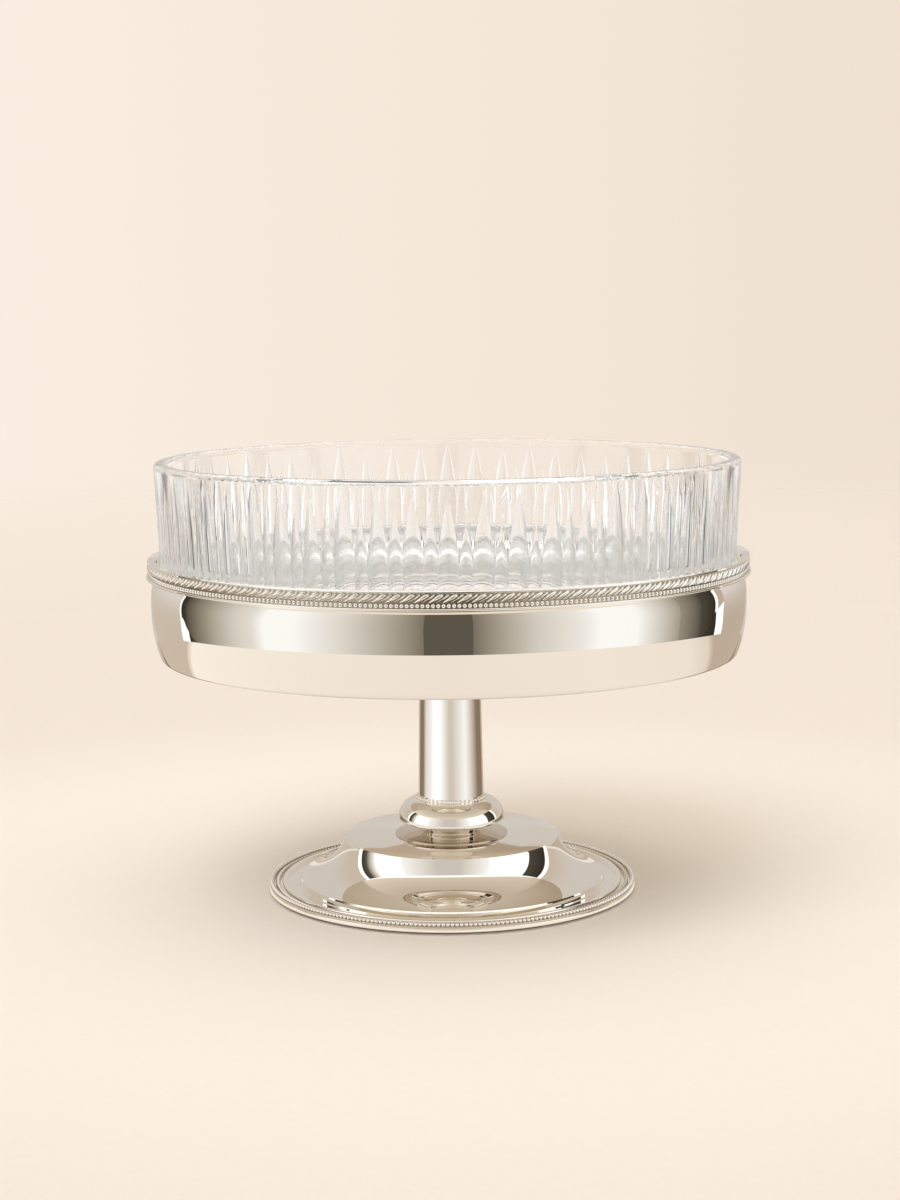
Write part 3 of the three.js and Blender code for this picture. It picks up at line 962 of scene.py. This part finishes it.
class BOWL_OT_knop(bpy.types.Operator):
    """Turned knop and the flared collar under it"""
    bl_idname = "fruit_bowl.knop"
    bl_label = "Knop"

    def execute(self, context):
        sizes = context.scene.bowl_stem
        widest, neck, crown = sizes.knop_radius, sizes.knop_neck, sizes.knop_crown
        _, low, high = extent("knop")
        bore = reach("stem_bush") * BUSH_SEAT
        waist = low + sizes.knop_waist
        lip = waist - 0.0010
        hollow = sweep((neck, low), (neck, lip - 0.0008), (neck + 0.002, lip - 0.0002),
                       (widest - 0.0016, lip), 10)
        edge = sweep((widest - 0.0016, lip), (widest - 0.0004, lip), (widest, waist - 0.0006),
                     (widest, waist), 8)
        upper = sweep((widest, waist), (widest - 0.0004, waist + (high - waist) * 0.62),
                      (crown + (widest - crown) * 0.52, high), (crown, high), 26)
        knop = spun("turned_knop", [(bore, low), *hollow, *edge[1:], *upper[1:], (bore, high)],
                    KNOP_STEPS)
        finish_piece(knop, EDGE_ANGLE, shared(polished_silver), "knop")
        outer, low, high = extent("knop_collar")
        rim = sizes.collar_rim
        flare = sweep((outer - rim, low + rim * 2), (outer - 0.008, low + rim * 2 + 0.0013),
                      (neck + 0.0003, low + rim * 2 + 0.0004), (neck, high), 24)
        collar = spun("flared_collar", [
            (sizes.bore, low), (outer - rim, low), *quarter((outer - rim, low + rim), rim, -90, 5)[1:],
            *quarter((outer - rim, low + rim), rim, 0, 5)[1:], *flare[1:], (sizes.bore, high),
        ], KNOP_STEPS)
        # The collar takes the darkened silver: painted shade under the knop.
        finish_piece(collar, EDGE_ANGLE, shared(worn_silver), "knop_collar")
        return {"FINISHED"}


FOOT_EASE = 0.0004
FOOT_WIRE_DEPTH, BASE_BAND_DEPTH = 0.002, 0.001
REED_HALF = 0.00085
FILLET_BREADTH, FILLET_ROUND = 0.0016, 0.0008
FELT_BREADTH, PAD_BREADTH = 0.009, 0.008
BRASS_POLISH, STEEL_POLISH = (0.18, 0.34), (0.22, 0.4)


class BOWL_OT_foot(bpy.types.Operator):
    """Spun foot with a flat top, a cavetto, an upright step and a brim"""
    bl_idname = "fruit_bowl.foot"
    bl_label = "Foot"

    def execute(self, context):
        sizes = context.scene.bowl_foot
        bore, thick, ease = context.scene.bowl_stem.bore, sizes.sheet, FOOT_EASE
        shoulder, lip = sizes.shoulder_radius, sizes.lip_radius
        brim, low, high = extent("foot_shell")
        brim_top = low + thick
        lip_top = brim_top + sizes.lip_step
        run, fall = lip - shoulder, high - lip_top
        pulls = (shoulder + run * 0.08, high - fall * 0.42), (shoulder + run * 0.34, high - fall * 0.8)
        cavetto = sweep((shoulder, high - ease), *pulls, (lip - ease, lip_top + ease * 0.3), 40)
        well = sweep((shoulder - thick, high - thick), *[(r - thick, z - thick) for r, z in pulls],
                     (lip - thick, lip_top - thick), 24)
        foot = spun("spun_foot", [
            *[(bore + (shoulder - ease - bore) * i / 6, high) for i in range(7)],
            (shoulder - ease * 0.3, high - ease * 0.3), *cavetto, (lip, lip_top - ease),
            (lip, brim_top + ease), (lip + ease, brim_top), (brim - 0.0002, brim_top),
            (brim, brim_top - 0.0002), (brim, low), (lip - thick, low), *well[::-1],
            (bore, high - thick),
        ], FOOT_STEPS)
        finish_piece(foot, SHEET_ANGLE, shared(domed_silver), "foot_shell")
        return {"FINISHED"}


class BOWL_OT_foot_wires(bpy.types.Operator):
    """Bead row, fine reeded wire, plain wire and the band round the foot's edge"""
    bl_idname = "fruit_bowl.foot_wires"
    bl_label = "Foot wires"

    def execute(self, context):
        sizes = context.scene.bowl_foot
        outer, seat, high = extent("foot_bead_wire")
        rise, radius = high - seat, sizes.bead_radius
        web = band("foot web", outer - FOOT_WIRE_DEPTH, outer, seat, seat + rise * 0.36,
                   (0, 0, 0.0003, 0.0003), FOOT_STEPS)
        middle = outer - FOOT_WIRE_DEPTH / 2
        beads = bead_row("foot beads", middle, high - radius, radius, sizes.beads)
        # painted shade: darker silver in the lower part of the bead row
        shaded = border_silver("foot bead silver", "height", seat + rise * 0.4, seat + rise * 0.62)
        row = joined("foot_beads", [web, beads])
        finish_piece(row, BEAD_ANGLE, shaded, "foot_bead_wire")
        outer, _, high = extent("foot_reed_wire")
        rise, half = high - seat, REED_HALF
        middle = outer - half
        core = spun("reed core", eased([
            (middle - half, seat, 0), (middle + half, seat, 0),
            (middle + half * 0.8, seat + rise * 0.5, 0.0003),
            (middle - half * 0.8, seat + rise * 0.5, 0.0003),
        ]), FOOT_STEPS)
        deselect_all()
        bpy.ops.mesh.primitive_uv_sphere_add(segments=8, ring_count=6, radius=1)
        reed = bpy.context.object
        for vertex in reed.data.vertices:
            x, y, z = vertex.co
            vertex.co = (x * 0.0007 + y * 0.0008, y * half - middle, seat + rise * 0.6 + z * rise * 0.4)
        rope = joined("foot_reeds", [core, ringed("reeds", reed, sizes.reeds)])
        # painted shade: darker silver in the lower part of the reed wire
        shaded = border_silver("foot reed silver", "height", seat + rise * 0.5, seat + rise * 0.85)
        finish_piece(rope, BEAD_ANGLE, shaded, "foot_reed_wire")
        outer, _, high = extent("foot_fillet_wire")
        inner, ease = outer - FILLET_BREADTH, FILLET_ROUND
        wire = spun("foot_plain_wire", [
            (inner, seat), (outer, seat), (outer, high - ease),
            *quarter((outer - ease, high - ease), ease, 0, 6)[1:],
            *quarter((inner + ease, high - ease), ease, 90, 6)[1:],
        ], FOOT_STEPS)
        finish_piece(wire, EDGE_ANGLE, shared(polished_silver), "foot_fillet_wire")
        outer, low, high = extent("foot_base_band")
        edge = band("foot_edge_band", outer - BASE_BAND_DEPTH, outer, low, high,
                    (0.0002, 0.0004, 0.0005, 0.0001), FOOT_STEPS)
        # painted shadow: the band's bottom edge is near black, the contact shadow on the floor
        shaded = border_silver("foot band silver", "height", low + 0.0005, low + 0.0008, PAINTED_CONTACT_SHADOW)
        finish_piece(edge, EDGE_ANGLE, shaded, "foot_base_band")
        return {"FINISHED"}


class BOWL_OT_underside(bpy.types.Operator):
    """Felt ring, clamp plate, washers, nut, rod, bush and the pad under the glass"""
    bl_idname = "fruit_bowl.underside"
    bl_label = "Underside"

    def execute(self, context):
        looks = context.scene.bowl_finishes
        bore = context.scene.bowl_stem.bore
        brass = turned_metal("turned brass", looks.brass, *BRASS_POLISH)
        steel = turned_metal("bright zinc", looks.steel, *STEEL_POLISH)
        rings = (
            ("felt_ring", "base_felt", FELT_BREADTH, (0.0003, 0.0003, 0, 0),
             FOOT_STEPS, EDGE_ANGLE, "felt", shared(wool_felt)),
            ("pad_ring", "liner_pad", PAD_BREADTH, (0, 0, 0.0004, 0.0004),
             FOOT_STEPS, EDGE_ANGLE, "pad", shared(soft_pad)),
            ("clamp_plate", "spreader_plate", None, (0.0003, 0.0005, 0.0002, 0),
             PLATE_STEPS, SHEET_ANGLE, "turned_brass", brass),
            ("washer", "flat_washer", None, (0.0002, 0.0004, 0.0002, 0),
             WASHER_STEPS, SHEET_ANGLE, "fastener_steel", steel),
        )
        for name, node, breadth, easings, steps, degrees, slot, finish in rings:
            outer, low, high = extent(node)
            inner = outer - breadth if breadth else bore
            piece = band(name, inner, outer, low, high, easings, steps)
            finish_piece(piece, degrees, finish, node)
        for node in ("spring_washer", "hex_nut", "tie_rod"):
            coat(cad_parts[node], steel)
        coat(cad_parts["stem_bush"], brass)
        return {"FINISHED"}


WHITE = (1.15, 1.15, 1.15)
FULL = 1.15
LEFT_TAUPE = (0.61, 0.52, 0.43)
RIGHT_TAUPE = (0.53, 0.435, 0.345)
SILVER_GREY = (0.73, 0.68, 0.64)
FOOT_GREY = (0.64, 0.585, 0.535)
OVERHEAD_GREY = (0.05, 0.05, 0.05)
OVERHEAD_CREAM = (0.92, 0.85, 0.77)
STRIP_WHITE = (3.2, 3.2, 3.2)
CARD_TINTS = (1.10, 0.93, 0.67), (1, 1, 1)
CARDS_LEFT = -108
CARDS_RIGHT = 108
FOOT_CARD_END = 113
BOWL_PANELS = (
    -108, (-106.8, FULL, FULL), (-103.5, 0.03, 0.05), (-92, 0.07, 0.29), (-76, 0.29, 0.66),
    (-68, 0.66, 0.78), (-63, 0.78, 1.03), (-52, 1.03, 1.02), (-34, 1.02, 0.73), (-8, 0.73, 0.20),
    (7.5, 0.105, 0.105), (28, 0.18, 0.66), (44, 0.66, 0.88), (50, 0.88, 1.03), (64, 1.03, 1.02),
    (70, 1.02, 0.80), (84, 0.80, 0.36), (96, 0.30, 0.09), (106, 0.07, 0.03), (108, FULL, FULL),
)
FOOT_PANELS = (
    -108, (-102.5, FULL, FULL), (-95, 0.04, 0.10), (-84, 0.15, 1.0), (-52, FULL, FULL),
    (-15, 1.0, 0.60), (8, 0.60, 0.60), (38, 0.60, 1.0), (84, FULL, FULL), (107, 0.07, 0.03),
    (113, FULL, FULL),
)
GLASS_PANELS = (
    -108, (-104, 1.0, 1.0), (-94, 0.03, 0.03), (-70, 0.95, 0.95), (-64, 0.12, 0.12), (-40, 0.90, 1.0),
    (-5, 1.0, 0.80), (5, 0.15, 0.15), (40, 0.80, 1.0), (64, 1.0, 0.90), (70, 0.12, 0.12),
    (94, 0.95, 0.95), (104, 0.03, 0.03), (113, 1.0, 1.0),
)
CARD_SIGHT = 0.12
FOOT_SIGHT_SLOPE, FOOT_SIGHT = 0.12, 0.1365
ROOM_SPREAD = (-0.3, 0.3)
ROOM_RISE = (0.06, 0.17)
ROOM_BACK = (0.24, 0.36)
ROOM_SIGHT = 0.425


def card_material():
    """Light on the cards: one pattern in the bowl, one in the foot and one through the glass.

    The flat run of a ray, taken from the middle of the bowl's height, tells the bowl from the foot.
    """
    material, tree, place = light_material("front cards")
    turn, height = tree.turn(place), tree.split(place)[2]
    bowl, foot, glass = (tree.panels(turn, panels, *CARD_TINTS)
                         for panels in (BOWL_PANELS, FOOT_PANELS, GLASS_PANELS))
    bowl = tree.mix(tree.math("GREATER_THAN", turn, CARDS_RIGHT), bowl, RIGHT_TAUPE)
    ray = tree.ray()
    run = tree.math("POWER", ray["Ray Length"], 2.0)
    climb = tree.math("POWER", tree.math("SUBTRACT", height, CARD_SIGHT), 2.0)
    limit = tree.math("MULTIPLY_ADD", height, FOOT_SIGHT_SLOPE, FOOT_SIGHT)
    from_foot = tree.math("GREATER_THAN", tree.math("SUBTRACT", run, climb), limit)
    silver = tree.mix(from_foot, bowl, foot)
    tone = tree.mix(ray["Is Transmission Ray"], silver, glass)
    tree.add("OutputMaterial", {"Surface": tree.glow(tone)})
    return material


def room_material():
    """Light from behind the bowl: taupe near the floor, a pale silver grey higher up."""
    material, tree, place = light_material("room card")
    x, y, z = tree.split(place)
    low = tree.mix(tree.range(x, *ROOM_SPREAD), LEFT_TAUPE, RIGHT_TAUPE)
    seen = tree.mix(tree.range(z, *ROOM_RISE), low, SILVER_GREY)
    from_foot = tree.math("GREATER_THAN", tree.ray()["Ray Length"], ROOM_SIGHT)
    behind = tree.mix(tree.range(y, *ROOM_BACK), LEFT_TAUPE, FOOT_GREY)
    tree.add("OutputMaterial", {"Surface": tree.glow(tree.mix(from_foot, seen, behind))})
    return material


def card_wall(name, studio, start, end, material, seen_through_glass):
    """A curved upright card from one angle to another, seen only in the silver and the glass."""
    deselect_all()
    bpy.ops.mesh.primitive_plane_add(size=1)
    card = bpy.context.object
    radius, first = studio.card_radius, math.radians(start)
    levels = (studio.card_base,) * 2 + (studio.card_height,) * 2
    for vertex, level in zip(card.data.vertices, levels):
        vertex.co = (radius * math.sin(first), -radius * math.cos(first), level)
    edit(True)
    select_mesh()
    bpy.ops.mesh.remove_doubles(threshold=WELD)
    select_mesh()
    bpy.ops.mesh.spin(steps=CARD_STEPS, angle=math.radians(start - end), center=CENTRE, axis=UPWARDS)
    edit(False)
    card.name = card.data.name = name
    card.data.materials.append(material)
    card.visible_camera = False
    card.visible_diffuse = False
    card.visible_shadow = False
    card.visible_transmission = seen_through_glass


BACK_DARK = ((127.0, 6.0), (147.5, 4.5))
BACK_WHITE = (157.5, 5.5)
BACKDROP_SPREAD = (-0.24, 0.24)
MIRRORED_RISE = (0.30, 0.58)
MIRRORED_CREAM = (0.86, 0.79, 0.71)
SKY_RISE = (0.25, 0.55)
OVERHEAD_RISE = (0.50, 0.60)
ZENITH_RISE = (0.78, 0.86)
WAVES = 11
WAVE_WHITE = (0.35, 0.55)
WAVE_DARK = (-0.50, -0.62)
EVEN_TONE = (1, 0.985, 0.965)


def back_strips(tree, turn):
    """Share and tone of dark and white strips beside the backdrop, seen only through the glass."""
    aside = tree.math("ABSOLUTE", turn)
    first, second = (tree.math("COMPARE", aside, *strip) for strip in BACK_DARK)
    dark = tree.math("MAXIMUM", first, second)
    white = tree.math("COMPARE", aside, *BACK_WHITE)
    return tree.math("MAXIMUM", dark, white), tree.mix(dark, WHITE, OVERHEAD_GREY)


def build_world(studio):
    """Cream backdrop for the eye, the silver and the glass; even light for the rest."""
    world = bpy.data.worlds.new("cream studio")
    bpy.context.scene.world = world
    tree = Tree(world)
    way = tree.place("Generated")
    x, _, z = tree.split(way)
    turn, ray = tree.turn(way), tree.ray()
    through_glass = ray["Is Transmission Ray"]
    cream = tree.mix(tree.range(x, *BACKDROP_SPREAD), studio.backdrop_left, studio.backdrop_right)
    share, tone = back_strips(tree, turn)
    sky = tree.mix(tree.product(share, through_glass),
                   tree.mix(tree.range(z, *SKY_RISE), cream, WHITE), tone)
    wave = tree.math("SINE", tree.product(turn, math.radians(WAVES)))
    strips = tree.mix(tree.range(wave, *WAVE_WHITE), OVERHEAD_CREAM, STRIP_WHITE)
    strips = tree.mix(tree.range(wave, *WAVE_DARK), strips, OVERHEAD_GREY)
    overhead = tree.mix(tree.range(z, *ZENITH_RISE), strips, OVERHEAD_CREAM)
    backdrop = tree.background(tree.mix(tree.range(z, *OVERHEAD_RISE), sky, overhead))
    mirrored = tree.background(tree.mix(tree.range(z, *MIRRORED_RISE), MIRRORED_CREAM, WHITE))
    even = tree.background(EVEN_TONE, studio.ambient)
    unseen = tree.blend(ray["Is Glossy Ray"], even, mirrored)
    seen = tree.math("MAXIMUM", ray["Is Camera Ray"], through_glass)
    tree.add("OutputWorld", {"Surface": tree.blend(seen, unseen, backdrop)})


NEAR_PAINTED_SHADE = (0.70, 0.62, 0.53)
NEAR_CREAM = (0.96, 0.86, 0.75)
FLOOR_TINTS = (1, 0.72, 0.47), (1, 0.92, 0.825)
FLOOR_PANELS = (
    -180, (-108, 0.61, 0.61), (-104, 0.70, 1.00), (-50, 1.00, 0.94), (0, 0.94, 0.90), (50, 0.90, 0.93),
    (92, 0.93, 0.90), (106, 0.90, 0.78), (110, 0.72, 0.53),
)
STEM_EDGE = 146
STEM_TINTS = (1, 0.68, 0.38), (1, 1, 1)
STEM_PANELS = (
    -STEM_EDGE, (-140, 0.61, 0.25), (-114, 0.25, 0.25), (-98, 0.25, 0.80), (-74, 0.80, 0.95),
    (-60, 0.95, FULL), (-42, FULL, FULL), (-6, FULL, 0.68), (4, 0.68, 0.66), (34, 0.66, 0.88),
    (52, 0.88, 1.0), (70, 1.0, 0.80), (108, 0.80, 0.25), (140, 0.25, 0.25), (STEM_EDGE, 0.25, 0.61),
)
PAINTED_POOL_SPREAD = (0.12, 0.40)
PAPER_END = (0.9, 2.4)
FLECK = (0.985, 1.0)
MIRRORED_FAR = (0.085, 0.22)
EDGE_SIGHT = 0.07
STEM_RING = (0.15, 0.19)
STEM_RING_END = 0.62
STEM_SIGHT_SLOPE, STEM_SIGHT = 0.99, -0.01
GLASS_BEYOND = 0.45


def paper_floor(studio):
    """Matt cream paper that fades into the backdrop; for rays from the silver it glows instead with
    painted light and painted shade.

    The length of a ray tells whether the foot's edge, the bowl or the stem mirrors the floor.
    """
    material, tree, shader, place = new_material("cream paper")
    output = shader.outputs["BSDF"].links[0].to_node
    radius, turn, ray = tree.radius(place), tree.turn(place), tree.ray()
    sight, through_glass = ray["Ray Length"], ray["Is Transmission Ray"]
    grain = tree.noise(place, scale=260.0, detail=4.0)
    # painted light: lighter paper near the foot, a pool of light
    tone = tree.mix(tree.range(radius, *PAINTED_POOL_SPREAD), studio.floor_near_painted_light, studio.floor_far)
    tree.feed(shader, {
        "Base Color": tree.scaled(tone, tree.range(grain, *NOISE_SPREAD, *FLECK)),
        "Roughness": 0.9, "Specular IOR Level": 0.1,
    })
    # painted shade: seen from the bowl, the floor near the foot glows taupe for the shade under the
    # bowl; from the foot's edge it stays cream
    near = tree.mix(tree.math("LESS_THAN", sight, EDGE_SIGHT), NEAR_PAINTED_SHADE, NEAR_CREAM)
    around = tree.panels(turn, FLOOR_PANELS, *FLOOR_TINTS)
    in_bowl = tree.mix(tree.range(radius, *MIRRORED_FAR), near, around)
    in_stem = tree.panels(turn, STEM_PANELS, *STEM_TINTS)
    limit = tree.math("MULTIPLY_ADD", radius, STEM_SIGHT_SLOPE, STEM_SIGHT)
    from_stem = tree.product(
        tree.range(radius, *STEM_RING), tree.math("LESS_THAN", radius, STEM_RING_END),
        tree.math("LESS_THAN", tree.math("ABSOLUTE", turn), STEM_EDGE),
        tree.math("GREATER_THAN", sight, limit),
    )
    mirrored = tree.glow(tree.mix(from_stem, in_bowl, in_stem))
    in_silver = tree.math("SUBTRACT", ray["Is Glossy Ray"], through_glass)
    paper = tree.blend(in_silver, shader.outputs["BSDF"], mirrored)
    share, tone = back_strips(tree, turn)
    share = tree.product(share, through_glass, tree.math("GREATER_THAN", radius, GLASS_BEYOND))
    striped = tree.blend(share, paper, tree.glow(tone))
    clear = tree.add("BsdfTransparent").outputs["BSDF"]
    tree.feed(output, {"Surface": tree.blend(tree.range(radius, *PAPER_END), striped, clear)})
    return material


def soft_light(name, energy, tone, breadth, lean, shades):
    """A broad light from above, leaned to the back and the right in degrees, with a shadow or none."""
    light = bpy.data.lights.new(name, "SUN")
    light.energy = energy
    light.color = tone
    light.angle = math.radians(breadth)
    light.use_shadow = shades
    lamp = bpy.data.objects.new(name, light)
    bpy.context.scene.collection.objects.link(lamp)
    lamp.rotation_euler = (math.radians(lean[0]), math.radians(-lean[1]), 0)
    lamp.visible_glossy = False
    lamp.visible_transmission = False


class BOWL_OT_stage(bpy.types.Operator):
    """Camera, paper floor, soft light and the cards that the silver mirrors"""
    bl_idname = "fruit_bowl.stage"
    bl_label = "Stage"

    def execute(self, context):
        scene, studio = context.scene, context.scene.bowl_studio
        scene.view_settings.view_transform = "Standard"
        scene.cycles.max_bounces = GLASS_BOUNCES
        scene.cycles.transmission_bounces = GLASS_BOUNCES
        scene.cycles.glossy_bounces = SILVER_BOUNCES
        build_world(studio)
        deselect_all()
        bpy.ops.mesh.primitive_circle_add(vertices=FLOOR_STEPS, radius=FLOOR_RADIUS, fill_type="NGON")
        floor = bpy.context.object
        floor.name = floor.data.name = "paper_floor"
        floor.data.materials.append(paper_floor(studio))
        card_wall("front_cards", studio, CARDS_LEFT, FOOT_CARD_END, card_material(), True)
        card_wall("room_card", studio, FOOT_CARD_END, 360 + CARDS_LEFT, room_material(), False)
        soft_light("key_light", studio.key, KEY_TONE, KEY_BREADTH, KEY_LEAN, True)
        soft_light("fill_light", studio.fill, FILL_TONE, FILL_BREADTH, FILL_LEAN, False)
        lens = bpy.data.cameras.new("camera")
        lens.sensor_width = SENSOR_WIDTH
        lens.lens = studio.camera_lens
        camera = bpy.data.objects.new("camera", lens)
        scene.collection.objects.link(camera)
        camera.location = (studio.camera_aside, -studio.camera_distance, studio.camera_height)
        tilt = Matrix.Rotation(math.pi / 2 - studio.camera_pitch, 4, "X")
        camera.matrix_world = (Matrix.Translation(camera.location) @ tilt
                               @ Matrix.Rotation(studio.camera_roll, 4, "Z"))
        scene.camera = camera
        return {"FINISHED"}


SETTINGS = (
    ("bowl_liner", LinerSizes), ("bowl_bowl", BowlSizes), ("bowl_border", BorderSizes),
    ("bowl_stem", StemSizes), ("bowl_foot", FootSizes), ("bowl_finishes", Finishes),
    ("bowl_studio", StudioSettings),
)
STEPS = (
    BOWL_OT_stage, BOWL_OT_silver_bowl, BOWL_OT_gadroon_border, BOWL_OT_border_wires, BOWL_OT_stem,
    BOWL_OT_knop, BOWL_OT_foot, BOWL_OT_foot_wires, BOWL_OT_underside, BOWL_OT_crystal_liner,
)


class BOWL_PT_panel(bpy.types.Panel):
    """Sizes, finishes and steps of the fruit bowl"""
    bl_idname = "BOWL_PT_panel"
    bl_label = "Footed fruit bowl"
    bl_space_type = "VIEW_3D"
    bl_region_type = "UI"
    bl_category = "Fruit bowl"

    def draw(self, context):
        for step in STEPS:
            self.layout.operator(step.bl_idname)
        for name, group in SETTINGS:
            box = self.layout.box()
            box.label(text=group.__doc__)
            for setting in group.__annotations__:
                box.prop(getattr(context.scene, name), setting)


def register():
    for name, group in SETTINGS:
        bpy.utils.register_class(group)
        setattr(bpy.types.Scene, name, PointerProperty(type=group))
    for step in (*STEPS, BOWL_PT_panel):
        bpy.utils.register_class(step)


def unregister():
    for step in (BOWL_PT_panel, *reversed(STEPS)):
        bpy.utils.unregister_class(step)
    for name, group in reversed(SETTINGS):
        delattr(bpy.types.Scene, name)
        bpy.utils.unregister_class(group)


def main():
    register()
    for step in STEPS:
        family, name = step.bl_idname.split(".")
        getattr(getattr(bpy.ops, family), name)()


if __name__ == "__main__":
    main()
